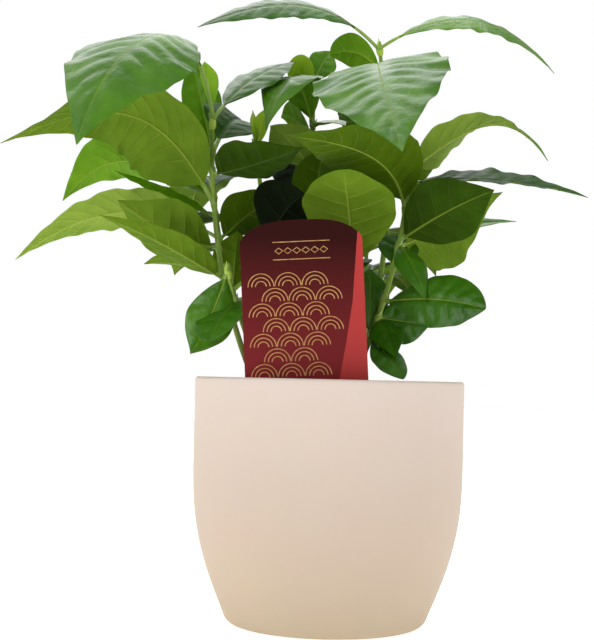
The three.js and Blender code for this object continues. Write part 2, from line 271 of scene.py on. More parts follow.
def part(points, quads, triangles, finish=0, tip_finish=None):
    """A piece of mesh as arrays. finish is the material number of each quad, or one number for all of them."""
    quad_finish = np.broadcast_to(finish, len(quads)).astype(np.int32)
    lone = quad_finish[0] if tip_finish is None else tip_finish
    triangle_finish = np.broadcast_to(lone, len(triangles)).astype(np.int32)
    return SimpleNamespace(
        points=points, quads=quads, triangles=triangles,
        quad_finish=quad_finish, triangle_finish=triangle_finish)


def joined(parts):
    """Several parts as one, with each part's corners renumbered after those of the parts before it."""
    shifts = np.cumsum([0] + [len(p.points) for p in parts[:-1]])
    return SimpleNamespace(
        points=np.concatenate([p.points for p in parts]),
        quads=np.concatenate([p.quads + s for p, s in zip(parts, shifts)]),
        triangles=np.concatenate([p.triangles + s for p, s in zip(parts, shifts)]),
        quad_finish=np.concatenate([p.quad_finish for p in parts]),
        triangle_finish=np.concatenate([p.triangle_finish for p in parts]))


def new_object(name, data):
    """A new object in the scene, at the origin."""
    made = bpy.data.objects.new(name, data)
    bpy.context.scene.collection.objects.link(made)
    return made


def make_piece(name, shape, finishes, slot=None, stands_for=(), smooth=True):
    """A Blender object of the shape, in metres at the origin, with its materials. A piece with a slot rides on the root
    body and hides the CAD nodes that it stands for.
    """
    mesh = bpy.data.meshes.new(name)
    faces = shape.quads.tolist() + shape.triangles.tolist()
    mesh.from_pydata(shape.points * MM, [], faces)
    numbers = np.concatenate([shape.quad_finish, shape.triangle_finish])
    mesh.polygons.foreach_set("material_index", numbers)
    mesh.polygons.foreach_set("use_smooth", np.full(len(faces), smooth))
    for finish in finishes:
        mesh.materials.append(finish)
    mesh.update()
    piece = new_object(name, mesh)
    if slot is None:
        return
    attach(piece, "root")
    if stands_for:
        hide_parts(*stands_for)


def grid_quads(rows, columns, wrapped):
    """Quads of a grid of points numbered row by row. A wrapped one joins its last column to its first."""
    i, j = np.meshgrid(np.arange(rows - 1), np.arange(columns if wrapped else columns - 1), indexing="ij")
    k = (j + 1) % columns
    lower, upper = i * columns, (i + 1) * columns
    return np.stack([lower + j, lower + k, upper + k, upper + j], axis=-1).reshape(-1, 4)


def nodes_named(start):
    """The CAD nodes whose names start with these words."""
    return [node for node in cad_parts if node.startswith(start)]


def tubes(rings, start, end, finish=0, tip_finish=None):
    """Closed tubes in one part. rings[tube, row, corner] are points, each ring turning the right-hand way round the
    direction of travel. Quads join ring to ring, and triangles join the first and last ring to a pole."""
    count, rows, corners = rings.shape[:3]
    each = rows * corners + 2
    points = np.concatenate([rings.reshape(count, -1, 3), start[:, None], end[:, None]], axis=1)
    j = np.arange(corners)
    k = (j + 1) % corners
    last = (rows - 1) * corners
    foot = np.stack([k, j, np.full(corners, each - 2)], axis=-1)
    head = np.stack([last + j, last + k, np.full(corners, each - 1)], axis=-1)
    shift = (np.arange(count) * each)[:, None, None]
    return part(
        points.reshape(-1, 3),
        (grid_quads(rows, corners, True) + shift).reshape(-1, 4),
        (np.concatenate([foot, head]) + shift).reshape(-1, 3),
        finish if np.ndim(finish) == 0 else np.tile(np.ravel(finish), count),
        tip_finish)


def unit(vectors):
    """The vectors divided by their own lengths."""
    return vectors / np.maximum(np.linalg.norm(vectors, axis=-1, keepdims=True), 1e-9)


def sweep(path, up, half_width, half_height, corners=6, finish=0):
    """Closed tubes of oval section along paths: point = path + half_width * cos(a) * side + half_height * sin(a) * up,
    with up squared to the path and side = up x direction. path and up are [tube, row, xyz]."""
    direction = unit(np.gradient(path, axis=1))
    up = unit(up - direction * np.sum(up * direction, axis=-1, keepdims=True))
    side = np.cross(up, direction)
    a = 2 * np.pi * np.arange(corners) / corners
    across = half_width[..., None, None] * np.cos(a)[:, None] * side[:, :, None]
    high = half_height[..., None, None] * np.sin(a)[:, None] * up[:, :, None]
    rings = path[:, :, None] + across + high
    return tubes(rings, path[:, 0], path[:, -1], finish)


def level_rings(r, z, sides):
    """Rings of points (r cos a, r sin a, z) about Z, one for each r and z."""
    a = 2 * np.pi * np.arange(sides) / sides
    return np.stack(np.broadcast_arrays(r[:, None] * np.cos(a), r[:, None] * np.sin(a), z[:, None]), axis=-1)


def lathe(profile, sides):
    """A closed solid of revolution about Z: a level ring for each (r, z) of the profile between its first and last
    point, which lie on the axis. The profile runs up the outside, from the foot to the top."""
    profile = np.array(profile, float)
    rings = level_rings(profile[1:-1, 0], profile[1:-1, 1], sides)
    start = np.array([[0, 0, profile[0, 1]]])
    end = np.array([[0, 0, profile[-1, 1]]])
    return tubes(rings[None], start, end)


def smoothstep(low, high, x):
    """0 below low, 1 above high and 3 s^2 - 2 s^3 between, for s from 0 to 1."""
    s = np.clip((x - low) / (high - low), 0, 1)
    return s * s * (3 - 2 * s)


def ripple(points, size, seed, waves=9):
    """A smooth uneven height from -1 to 1: the mean of sine waves of about the given size, each in a seeded
    direction, times 1.6."""
    random = np.random.default_rng(seed)
    directions = unit(random.normal(size=(waves, points.shape[-1])))
    lengths = size * random.uniform(0.6, 1.7, waves)
    phases = random.uniform(0, 2 * np.pi, waves)
    turns = points @ (directions * (2 * np.pi / lengths)[:, None]).T + phases
    return np.clip(np.sin(turns).mean(axis=-1) * 1.6, -1, 1)


# Pot, soil and label

def pot_radius(z):
    """Outer radius of the pot: r = foot + (widest - foot) * (1 - (1 - t)^ease)^round with t = z / belly height,
    drawn in by a quarter circle at the foot."""
    t = np.minimum(1, z / BELLY_HEIGHT)
    swell = (1 - (1 - t) ** BELLY_EASE) ** BELLY_ROUND
    corner = np.maximum(0, FOOT_CORNER - z)
    r = FOOT_RADIUS + (POT_RADIUS - FOOT_RADIUS) * swell
    return r - FOOT_CORNER + np.sqrt(FOOT_CORNER**2 - corner**2)


def pot_shape():
    """The pot as a lathe solid: flat underside, rounded foot, swelling wall, a rim rounded by an arc, inner wall and
    inner floor."""
    foot = FOOT_CORNER * (1 - np.cos(np.linspace(0, np.pi / 2, FOOT_ROWS)))
    wall = np.linspace(FOOT_CORNER, POT_HEIGHT - RIM_ROUND, WALL_ROWS)[1:]
    outside = [(pot_radius(z), z) for z in np.concatenate([foot, wall])]
    rim = []
    quarter = np.linspace(0, np.pi / 2, RIM_ROWS)
    for edge, way, turns in ((POT_RADIUS, -1, quarter[1:]), (POT_RADIUS - POT_WALL, 1, quarter[::-1])):
        for a in turns:
            lift = RIM_ROUND * math.sin(a)
            rim.append((edge + way * RIM_ROUND * (1 - math.cos(a)), POT_HEIGHT - RIM_ROUND + lift))
    inside = [(pot_radius(z) - POT_WALL, z) for z in np.linspace(POT_HEIGHT - 4, POT_FLOOR, INNER_ROWS)]
    underside = [(0, 0), (FOOT_RADIUS * 0.5, 0)]
    floor = [(inside[-1][0] * 0.5, POT_FLOOR), (0, POT_FLOOR)]
    return lathe(underside + outside + rim + inside + floor, POT_SIDES)


def soil_shape():
    """Peat mix as one closed body: a wall that follows the pot's inner side, then rings that close in on the axis,
    whose height is the soil level plus a sum of ripples, fading to nothing at the wall."""
    wall_z = np.array([POT_FLOOR + SOIL_GAP, 20, 40, 60, 80, 100, SOIL_TOP - 1.6])
    wall_r = pot_radius(wall_z) - POT_WALL - SOIL_GAP
    top_r = wall_r[-1] * np.sin(np.linspace(np.pi / 2, 0, SOIL_ROWS)[1:-1])
    r = np.concatenate([wall_r, top_r])
    z = np.concatenate([wall_z, np.full(len(top_r), SOIL_TOP - 0.6)])
    rings = level_rings(r, z, SOIL_SIDES)
    lumps = sum(ripple(rings[..., :2], size, seed, waves) * share for size, seed, waves, share in SOIL_RIPPLES)
    inward = smoothstep(wall_r[-1], wall_r[-1] - 3, r)[:, None]
    on_top = (z > SOIL_TOP - 1)[:, None]
    rings[..., 2] += np.where(on_top, SOIL_LUMP * lumps * inward, 0)
    start = np.array([[0, 0, wall_z[0]]])
    end = rings[-1].mean(axis=0)[None]
    return tubes(rings[None], start, end)


def crumbs_shape():
    """Peat and bark crumbs on the soil: twenty-sided grains, each stretched, turned and set at a seeded place clear
    of the pot's wall and of the label's foot."""
    random = np.random.default_rng(11)
    g = (1 + math.sqrt(5)) / 2
    corners = [(0, b, c * g) for b in (-1, 1) for c in (-1, 1)]
    corners = np.array(corners + [(y, z, x) for x, y, z in corners] + [(z, x, y) for x, y, z in corners])
    distance = np.linalg.norm(corners[:, None] - corners[None], axis=-1)
    near = np.abs(distance - 2) < 0.01
    faces = [f for f in combinations(range(12), 3) if all(near[pair] for pair in combinations(f, 2))]
    faces = np.array([f if np.linalg.det(corners[list(f)]) > 0 else (f[0], f[2], f[1]) for f in faces])
    radius = (pot_radius(SOIL_TOP) - POT_WALL - CRUMB_GAP) * np.sqrt(random.uniform(0, 1, CRUMBS))
    angle = random.uniform(0, 2 * np.pi, CRUMBS)
    place = np.stack([radius * np.cos(angle), radius * np.sin(angle)], axis=-1)
    half = random.uniform(*CRUMB_SIZE, CRUMBS) / 2
    stretch = random.uniform(0.5, 1, (CRUMBS, 3)) * half[:, None] / math.hypot(1, g)
    axes = np.linalg.qr(random.normal(size=(CRUMBS, 3, 3)))[0]
    axes[np.linalg.det(axes) < 0, :, 0] *= -1
    grains = np.einsum("nij,ncj->nci", axes, corners[None] * stretch[:, None])
    high = SOIL_TOP - 0.4 + random.uniform(-0.3, 0.8, CRUMBS)
    points = grains + np.concatenate([place, high[:, None]], axis=-1)[:, None]
    at_card = np.all(np.abs(place - CARD_FOOT[:2]) < CARD_GAP, axis=1)
    points = points[~at_card]
    shift = (12 * np.arange(len(points)))[:, None, None]
    triangles = (faces[None] + shift).reshape(-1, 3)
    return part(points.reshape(-1, 3), np.zeros((0, 4), int), triangles, tip_finish=0)


def card_points(u, v, out):
    """Points of the leaning card: u mm right of its middle, v mm up from its foot, out mm towards the front. Its middle
    stands forward of its sides: y = foot + bend / 2 * ((u / half)^2 - 1/2) - out."""
    c, s = math.cos(math.radians(CARD_LEAN)), math.sin(math.radians(CARD_LEAN))
    bow = CARD_BEND / 2 * ((u / (CARD_WIDTH / 2)) ** 2 - 0.5)
    return np.stack([
        CARD_FOOT[0] + u * c - v * s,
        CARD_FOOT[1] + bow - out,
        CARD_FOOT[2] + u * s + v * c], axis=-1)


def stripe_edge(v):
    """How far right of the card's middle its bright stripe starts, at height v."""
    heights, edges = np.array(STRIPE_EDGE, float).T
    return np.interp(v, heights, edges)


def card_shape():
    """The card as a slab of two grids and a rim. Columns run from its left side to the stripe's edge and on to its
    right side, and rows from its foot to its domed top: top = shoulder + dome * (1 - |u / half|^3)^0.667."""
    half = CARD_WIDTH / 2
    left_columns, right_columns, rows = 30, 9, 56
    b = np.linspace(0, 1, rows)[:, None]
    edge = stripe_edge(b * (CARD_SHOULDER + 4))
    turn = np.linspace(0, np.pi / 2, left_columns + 1)
    left = -half + (edge + half) * (1 - np.cos(turn))
    turn = np.linspace(0, np.pi / 2, right_columns + 1)[1:]
    right = edge + (half - edge) * np.sin(turn)
    u = np.concatenate([left, right], axis=1)
    top = CARD_SHOULDER + CARD_DOME * np.maximum(0, 1 - np.abs(u / half) ** 3) ** 0.667
    v = b * top
    front = card_points(u, v, CARD_THICK / 2)
    back = card_points(u, v, -CARD_THICK / 2)
    columns = u.shape[1]
    faces = grid_quads(rows, columns, False)
    finish = np.tile(np.where(np.arange(columns - 1) < left_columns, 0, 1), rows - 1)
    whole = rows * columns
    rim = np.concatenate([
        np.arange(columns - 1),
        np.arange(rows - 1) * columns + columns - 1,
        np.arange(whole - 1, whole - columns, -1),
        np.arange(rows - 1, 0, -1) * columns])
    after = np.roll(rim, -1)
    sides = np.stack([after, rim, rim + whole, after + whole], axis=-1)
    return part(
        np.concatenate([front.reshape(-1, 3), back.reshape(-1, 3)]),
        np.concatenate([faces, np.flip(faces, axis=1) + whole, sides]),
        np.zeros((0, 3), int),
        np.concatenate([finish, np.full(len(faces), 2), np.full(len(sides), 2)]),
        tip_finish=2)


def print_lines(lines, width):
    """Raised ink lines on the card's front: each line is an array of (u, v) points of the same count."""
    lines = np.array(lines, float)
    path = card_points(lines[..., 0], lines[..., 1], CARD_THICK / 2)
    up = np.broadcast_to([0.0, -1.0, 0.0], path.shape)
    half = np.full(path.shape[:2], width / 2)
    return sweep(path, up, half, np.full(path.shape[:2], PRINT_RAISE), corners=4)


def arc(middle, radius, first, last, steps=28):
    """Points of an arc in the card's plane, its angles in degrees from the right-hand side."""
    a = np.radians(np.linspace(first, last, steps))
    return np.stack([middle[0] + radius * np.cos(a), middle[1] + radius * np.sin(a)], axis=-1)


def scale_pattern():
    """Rows of nested arches like fish scales, left of the stripe: in every other row they move by half a scale."""
    lines = []
    for row in range(SCALE_ROWS):
        v = SCALE_FOOT + row * SCALE_RADIUS * SCALE_STEP
        first = PRINT_LEFT + SCALE_RADIUS * (1 + row % 2)
        for u in first + 2 * SCALE_RADIUS * np.arange(SCALE_COLUMNS):
            if u + SCALE_RADIUS <= stripe_edge(v + SCALE_RADIUS) - PRINT_GAP:
                lines += [arc((u, v), SCALE_RADIUS * share, 0, 180) for share in SCALE_ARCS]
    return print_lines(lines, PRINT_WIDTH)


def top_ornament():
    """Plain ornament at the card's head: a row of small diamonds, |u| / half width + |v| / half height = 1, between
    two rules."""
    diamond = arc((0, 0), 1, 0, 450, 6) * DIAMOND_HALF
    lines = [diamond + [middle, DIAMOND_HEIGHT] for middle in np.linspace(*DIAMONDS)]
    u = np.linspace(-RULE_HALF, RULE_HALF, len(diamond))
    lines += [np.stack([u, np.full(len(u), v)], axis=-1) for v in RULES]
    return print_lines(lines, PRINT_WIDTH)


def foot_ornament():
    """A row of upright bars at the card's foot, long and short in turn."""
    bars = []
    for number, u in enumerate(np.arange(*BARS)):
        v = np.linspace(BAR_FOOT, BAR_TOPS[number % 2], 6)
        bars.append(np.stack([np.full(len(v), u), v], axis=-1))
    return print_lines(bars, BAR_WIDTH)


# Stems

def stem_middle(name, z):
    """Middle of a stem at height z: with s the share of its height, x and y go from foot to tip by 1 - (1 - s)^ease,
    and x adds bow * sin(pi s)."""
    foot_x, foot_y, tip_x, tip_y, tip_z, ease, bow = SEEDLINGS[name]
    s = np.clip((z - SOIL_TOP) / (tip_z - SOIL_TOP), 0, 1)
    g = 1 - (1 - s) ** ease
    x = foot_x + (tip_x - foot_x) * g + bow * np.sin(np.pi * s)
    return np.stack([x, foot_y + (tip_y - foot_y) * g, z + 0 * g], axis=-1)


def stem_nodes(name):
    """Heights where leaves leave a stem, those closer than 3 mm counted once."""
    heights = sorted({row[0] for row in LEAVES[name]})
    return [z for i, z in enumerate(heights) if i == 0 or z - heights[i - 1] > 3]


def stem_shape(name):
    """A stem as one tube of level rings: radius = taper + flare * exp(-h / flare height) + a swelling at each node,
    times 1 + shallow lengthwise grooves. Over its last millimetres it is a flattened bud: bud radius *
    (1 - p^2.2)^0.8 * (0.75 + 0.5 sin(1.1 pi p)), for p from 0 to 1."""
    tip_z = SEEDLINGS[name][4]
    bud_z = tip_z - BUD_LENGTH
    z = np.concatenate([
        np.linspace(SOIL_TOP - 1.5, bud_z, STEM_RINGS),
        np.linspace(bud_z, tip_z, 16)[1:]])
    s = (z - SOIL_TOP) / (tip_z - SOIL_TOP)
    radius = STEM_FOOT + (STEM_TIP - STEM_FOOT) * s
    radius = radius + FLARE * np.exp(-np.maximum(0, z - SOIL_TOP) / FLARE_HEIGHT)
    for node in stem_nodes(name):
        radius = radius + NODE_SWELL * np.exp(-(((z - node) / NODE_LENGTH) ** 2))
    p = np.clip((z - bud_z) / BUD_LENGTH, 0, 1)
    bud = BUD_RADIUS * (1 - p**2.2) ** 0.8 * (0.75 + 0.5 * np.sin(np.pi * np.minimum(1, p * 1.1)))
    radius = np.where(z > bud_z, np.maximum(0.25, bud), radius)
    a = 2 * np.pi * np.arange(STEM_SIDES) / STEM_SIDES
    middle = stem_middle(name, z)
    seed = sum(map(ord, name))
    around = level_rings(np.full(len(z), 3), z * GROOVE_RUN, STEM_SIDES)
    bark = 1 + STEM_GROOVE * ripple(around, GROOVE_SIZE, seed) * smoothstep(BUD_RADIUS, 2.0, radius)[:, None]
    flat = np.where(z > bud_z, BUD_FLAT, 1)[:, None]
    r = radius[:, None] * bark
    rings = middle[:, None] + np.stack([r * np.cos(a), r * flat * np.sin(a), 0 * r], axis=-1)
    finish = np.repeat((z[1:] > bud_z + 0.5).astype(int), STEM_SIDES)
    start = middle[:1] - [0, 0, 0.2]
    end = middle[-1:] + [0, 0, 0.3]
    return tubes(rings[None], start, end, finish, tip_finish=1)


def stipules(name):
    """Small pointed scales that clasp a stem on both sides at each node: short flat tubes that lean out by
    foot + lean * s^1.6 and narrow by (1 - s)^0.7."""
    parts = []
    for node in stem_nodes(name):
        heading = next(row[1] for row in LEAVES[name] if row[0] == node)
        here = stem_middle(name, np.array([node, node + 1.0]))
        stem_way = unit(here[1] - here[0])
        for turn in (90, -90):
            a = math.radians(heading + turn)
            out = np.array([math.cos(a), math.sin(a), 0.0])
            s = np.linspace(0, 1, 9)[:, None]
            path = here[0] + out * (STIPULE_FOOT + STIPULE_LEAN * s**1.6) + stem_way * (0.2 + STIPULE_LENGTH * s)
            half = STIPULE_HALF * (1 - s[:, 0]) ** 0.7 + 0.08
            up = np.broadcast_to(out, path.shape)
            parts.append(sweep(path[None], up[None], half[None], half[None] * STIPULE_FLAT))
    return joined(parts)


# Leaves

def leaf_form(name, row):
    """The driving values of a leaf as one object, with its midrib's four handles and its left-hand direction. Of the
    values a row may have of its own, under is the tone of its underside, skew leans the arch towards its base, square
    moves the middle handles apart and early both back, bow bends the midrib sideways, twist turns the blade from base
    to tip, petiole is the stalk's share of its length, peak, tip and kind shape its outline: see blade_profile, and
    quilt is the height of its doming between the ribs."""
    z, heading, reach, rise, width, arch, roll, cup, tone, *own = row
    shape = dict(
        under=tone, skew=0, square=0, early=0, bow=0, twist=0, petiole=PETIOLE, peak=0.85, tip=0, kind="",
        quilt=QUILT)
    shape.update(*own)
    leaf = SimpleNamespace(**shape, width=width, roll=roll, cup=cup, tone=tone)
    a = math.radians(heading)
    leaf.left = np.array([-math.sin(a), math.cos(a), 0.0])
    chord = np.array([reach * math.cos(a), reach * math.sin(a), rise])
    base = stem_middle(name, np.float64(z))
    lift = np.array([0.0, 0.0, arch * 4 / 3])
    aside = leaf.left * leaf.bow * 4 / 3
    leaf.handles = np.array([
        base,
        base + chord * (1 / 3 - leaf.square - leaf.early) + lift * (1 + leaf.skew) + aside,
        base + chord * (2 / 3 + leaf.square - leaf.early) + lift * (1 - leaf.skew) + aside,
        base + chord])
    steps = np.diff(bezier(leaf.handles, np.linspace(0, 1, 40)), axis=0)
    leaf.length = np.linalg.norm(steps, axis=1).sum()
    leaf.ribs = int(np.clip(round(leaf.length * (1 - leaf.petiole) / RIB_SPACING), *RIB_COUNT))
    leaf.phases = np.random.default_rng(z * 1000 + heading).uniform(0, 2 * np.pi, 3)
    return leaf


def bezier(handles, t):
    """The cubic curve of four handles at shares t of its run."""
    t = t[..., None]
    a, b, c, d = handles
    return (1 - t) ** 3 * a + 3 * t * (1 - t) ** 2 * b + 3 * t**2 * (1 - t) * c + t**3 * d


def bezier_way(handles, t):
    """The direction of that curve."""
    t = t[..., None]
    a, b, c, d = handles
    return unit((1 - t) ** 2 * (b - a) + 2 * t * (1 - t) * (c - b) + t**2 * (d - c))


def blade_profile(leaf, u):
    """Half width of a blade as a share of its greatest, at share u of its length: sin(pi u^peak)^0.9 * (1 - 0.45 u^5)
    for a pointed leaf, drawn in by the share tip over its last half, sin(pi u^1.15)^0.7 for a blunt one and a circle's
    arc for a seed leaf."""
    u = np.clip(u, 0, 1)
    if leaf.kind == "round":
        return np.sqrt(np.clip(1 - (2 * u**0.9 - 1) ** 2, 0, 1))
    if leaf.kind == "blunt":
        return np.clip(np.sin(np.pi * u**1.15), 0, 1) ** 0.7
    drawn_in = 1 - leaf.tip * smoothstep(0.45, 0.95, u)
    return np.clip(np.sin(np.pi * u**leaf.peak), 0, 1) ** 0.9 * (1 - 0.45 * u**5) * drawn_in


def blade_frame(leaf, t):
    """At share t of the midrib: its point, the blade's sideways direction and its upward direction, turned about the
    midrib by roll + twist * (t - 0.5)."""
    way = bezier_way(leaf.handles, t)
    up = unit(np.cross(way, leaf.left))
    turn = np.radians(leaf.roll + leaf.twist * (t - 0.5))[..., None]
    side = leaf.left * np.cos(turn) + up * np.sin(turn)
    face = up * np.cos(turn) - leaf.left * np.sin(turn)
    return bezier(leaf.handles, t), side, face


def half_width(leaf, t, v):
    """Half width in mm at share t, with a slow uneven wave of the edge."""
    u = (t - leaf.petiole) / (1 - leaf.petiole)
    waves = np.sin(np.pi * leaf.ribs * u + leaf.phases[0] + 2 * np.sign(v))
    blade = leaf.width / 2 * blade_profile(leaf, u) * (1 + EDGE_WAVE * waves * np.abs(v))
    return np.maximum(blade, PETIOLE_HALF * smoothstep(1.02, 0.9, t))


def blade_height(leaf, t, v):
    """Height of the blade's middle sheet over its frame, in mm: cup * w * |v|^1.3, plus doming between the side ribs
    quilt * w * |sin(pi s)|^0.9 for the rib phase s, plus an edge ruffled by two waves, 0.42 and 0.8 of a turn a rib,
    less a furrow at the midrib."""
    u = np.clip((t - leaf.petiole) / (1 - leaf.petiole), 0, 1)
    w = half_width(leaf, t, v)
    far = np.abs(v)
    on_blade = smoothstep(0, 0.08, u)
    s = rib_phase(leaf, u, v)
    dome = leaf.quilt * w * np.abs(np.sin(np.pi * s)) ** 0.9 * smoothstep(0, 0.3, far) * (1 - far**4)
    ruffle = np.sin(2 * np.pi * leaf.ribs * 0.42 * u + leaf.phases[1] + 1.7 * np.sign(v))
    ruffle = ruffle + 0.6 * np.sin(2 * np.pi * leaf.ribs * 0.8 * u + leaf.phases[2] + 2.9 * np.sign(v))
    furrow = FURROW * np.exp(-((v * w / FURROW_WIDTH) ** 2))
    return leaf.cup * w * far**1.3 + on_blade * (dome + RUFFLE * w * far**3 * ruffle - furrow)


def rib_phase(leaf, u, v):
    """Which side rib a point lies by: ribs * (u - sweep * |v|^1.3), staggered between the two sides. It is a whole
    number on a rib, and half way between two at their middle."""
    return leaf.ribs * (u - RIB_SWEEP * np.abs(v) ** 1.3) + RIB_STAGGER * np.sign(v)


def blade_points(leaf, t, v, lift):
    """Points of the blade at share t of its midrib and share v of its half width, lifted off its middle sheet."""
    middle, side, face = blade_frame(leaf, t)
    lean = math.sqrt(max(0.2, 1 - 0.8 * leaf.cup**2))
    across = (half_width(leaf, t, v) * v * lean)[..., None]
    high = (blade_height(leaf, t, v) + lift)[..., None]
    return middle + across * side + high * face


def blade_shape(leaf, finishes):
    """A leaf as one closed tube: each ring runs over the blade's top from its left edge to its right and back under
    it, with its columns at v = 0.975 s (0.62 + 0.38 s^2), close together at the midrib. The half thickness is that of
    the stalk, an oval, and thins to the blade's, which rounds off at its edge."""
    rows = int(np.clip(36 + leaf.length * 0.85, *BLADE_ROWS))
    t = np.linspace(0.004, 0.998, rows)
    s = np.linspace(1, -1, BLADE_COLUMNS)[1:-1]
    over = np.concatenate([[0.985], 0.975 * s * (0.62 + 0.38 * s**2), [-0.985]])
    v = np.concatenate([[1.0], over, [-1.0], over[::-1]])
    upward = np.concatenate([[0], np.ones(len(over)), [0], -np.ones(len(over))])
    t, v = np.meshgrid(t, v, indexing="ij")
    blade = smoothstep(leaf.petiole * 0.6, leaf.petiole * 1.3, t)
    thick = PETIOLE_DEEP + (BLADE_HALF_THICK - PETIOLE_DEEP) * blade
    round_off = np.sqrt(np.clip(1 - np.abs(v) ** (2 + 6 * blade), 0, 1))
    rings = blade_points(leaf, t, v, upward * thick * round_off)
    top = np.broadcast_to(np.arange(v.shape[1]) <= len(over), (rows - 1, v.shape[1]))
    on_stalk = t[:-1] < leaf.petiole * 0.9
    finish = np.where(on_stalk, finishes[2], np.where(top, finishes[0], finishes[1]))
    return tubes(rings[None], leaf.handles[:1], leaf.handles[3:], finish, tip_finish=finishes[0])


def midrib_shape(leaf, finish):
    """The midrib as a tapering oval tube that lies in the blade's furrow and stands proud underneath."""
    t = np.linspace(leaf.petiole * 0.8, 0.975, MIDRIB_ROWS)
    _, _, face = blade_frame(leaf, t)
    size = MIDRIB[0] + (MIDRIB[1] - MIDRIB[0]) * np.linspace(0, 1, MIDRIB_ROWS) ** 0.8
    size = size * min(1, 0.55 + leaf.width / 90)
    path = blade_points(leaf, t, 0 * t, 0.1 - 0.45 * size)
    return sweep(path[None], face[None], size[None], (size * 0.95)[None], 8, finish)


def ribs_shape(leaf, finish):
    """The side ribs: on both sides, from the midrib at u = n / ribs out to the edge along the rib phase n, as fine
    tapering tubes that stand proud of the blade's underside, while its top only creases over them."""
    v = np.linspace(0.02, 0.9, RIB_ROWS)
    number, side = np.meshgrid(np.arange(leaf.ribs + 1), [1, -1], indexing="ij")
    number, side = number.ravel()[:, None], side.ravel()[:, None]
    u = (number - RIB_STAGGER * side) / leaf.ribs + RIB_SWEEP * v**1.3
    keep = (u[:, 0] > 0.03) & (u[:, -1] < 0.985)
    u, side = u[keep], side[keep]
    t = leaf.petiole + (1 - leaf.petiole) * u
    _, _, face = blade_frame(leaf, t)
    path = blade_points(leaf, t, side * v, -RIB_SUNK)
    taper = np.linspace(1, 0, RIB_ROWS) ** 0.7
    size = (RIB[1] + (RIB[0] - RIB[1]) * taper) * min(1.15, 0.5 + leaf.width / 80)
    size = np.broadcast_to(size, t.shape)
    return sweep(path, face, size, size, 4, finish)


# Materials

def linear(colour):
    """An sRGB hex colour, such as "#d8c3ad", as linear red, green and blue with alpha 1."""
    values = np.array([int(colour[i:i + 2], 16) for i in (1, 3, 5)]) / 255
    values = np.where(values <= 0.04045, values / 12.92, ((values + 0.055) / 1.055) ** 2.4)
    return (*values.tolist(), 1.0)


# The Mix node's sockets by number, since some share a name: the share, two colours and their result, two values
MIX_SHARE, COLOUR_A, COLOUR_B, COLOUR_MIXED, VALUE_A, VALUE_B = 0, 6, 7, 2, 2, 3


def add_node(tree, kind, settings=None, links=None, stops=(), **options):
    """Adds a node: options are its own settings, settings its unlinked inputs, links its inputs fed by other nodes,
    where a node stands for its first output, and stops the places and hex colours of a ramp."""
    node = tree.nodes.new(f"ShaderNode{kind}")
    for name, value in options.items():
        setattr(node, name, value)
    for name, value in (settings or {}).items():
        node.inputs[name].default_value = linear(value) if isinstance(value, str) else value
    for name, source in (links or {}).items():
        output = source.outputs[0] if isinstance(source, bpy.types.Node) else source
        tree.links.new(output, node.inputs[name])
    for number, (place, colour) in enumerate(stops):
        ramp = node.color_ramp
        stop = ramp.elements[number] if number < 2 else ramp.elements.new(place)
        stop.position = place
        stop.color = linear(colour)
    return node


def make_material(name, skin, *values):
    """A material with the surface that the function skin builds from its node tree, its object coordinates and the
    values."""
    material = bpy.data.materials.new(name)
    material.use_nodes = True
    tree = material.node_tree
    tree.nodes.clear()
    place = add_node(tree, "TexCoord").outputs["Object"]
    add_node(tree, "OutputMaterial", links={"Surface": skin(tree, place, *values)})
    return material


def per_mm(size):
    """A texture's scale, in turns per metre, for features of this size in mm."""
    return 1 / (size * MM)


def pot_ceramic(tree, place):
    """Earthenware with a matt sprayed coat: cream, dry to the eye, darker and yellower towards the foot, which is
    partly painted shade and partly the coat's own deeper tone, with the faint orange peel of the spray, drawn at 1.4 mm
    because the real 0.5 mm would not show."""
    height = add_node(tree, "SeparateXYZ", links={"Vector": place}).outputs["Z"]
    share = add_node(tree, "MapRange", {"From Min": 0.0, "From Max": POT_HEIGHT * MM}, {"Value": height})
    # Darker towards the foot: partly painted shade, partly the coat's own tone
    stops = [(0.0, "#b9a88f"), (1.0, "#cfc0b5"), (0.4, "#c3b09f")]
    body = add_node(tree, "ValToRGB", links={"Fac": share}, stops=stops)
    cloud = add_node(tree, "TexNoise", {"Scale": per_mm(26), "Detail": 4.0, "Roughness": 0.6}, {"Vector": place})
    tint = add_node(
        tree, "Mix", {MIX_SHARE: 0.05}, {COLOUR_A: body, COLOUR_B: cloud.outputs["Color"]},
        data_type="RGBA", blend_type="MULTIPLY")
    peel = add_node(tree, "TexNoise", {"Scale": per_mm(1.4), "Detail": 2.0}, {"Vector": place})
    bump = add_node(tree, "Bump", {"Strength": 0.12, "Distance": 0.0002}, {"Height": peel})
    return add_node(
        tree, "BsdfPrincipled", {"Roughness": 0.72, "Specular IOR Level": 0.3},
        {"Base Color": tint.outputs[COLOUR_MIXED], "Normal": bump})


def peat(tree, place):
    """Peat and coir potting mix, loose and damp: near black brown with lighter fibres, no shine, rough at 1 to 3 mm."""
    grain = add_node(tree, "TexNoise", {"Scale": per_mm(2.4), "Detail": 5.0, "Roughness": 0.7}, {"Vector": place})
    stops = [(0.3, "#1e130c"), (0.75, "#5d4330"), (0.5, "#35241a")]
    colour = add_node(tree, "ValToRGB", links={"Fac": grain}, stops=stops)
    bump = add_node(tree, "Bump", {"Strength": 0.8, "Distance": 0.0012}, {"Height": grain})
    return add_node(
        tree, "BsdfPrincipled", {"Roughness": 0.95, "Specular IOR Level": 0.2},
        {"Base Color": colour, "Normal": bump})


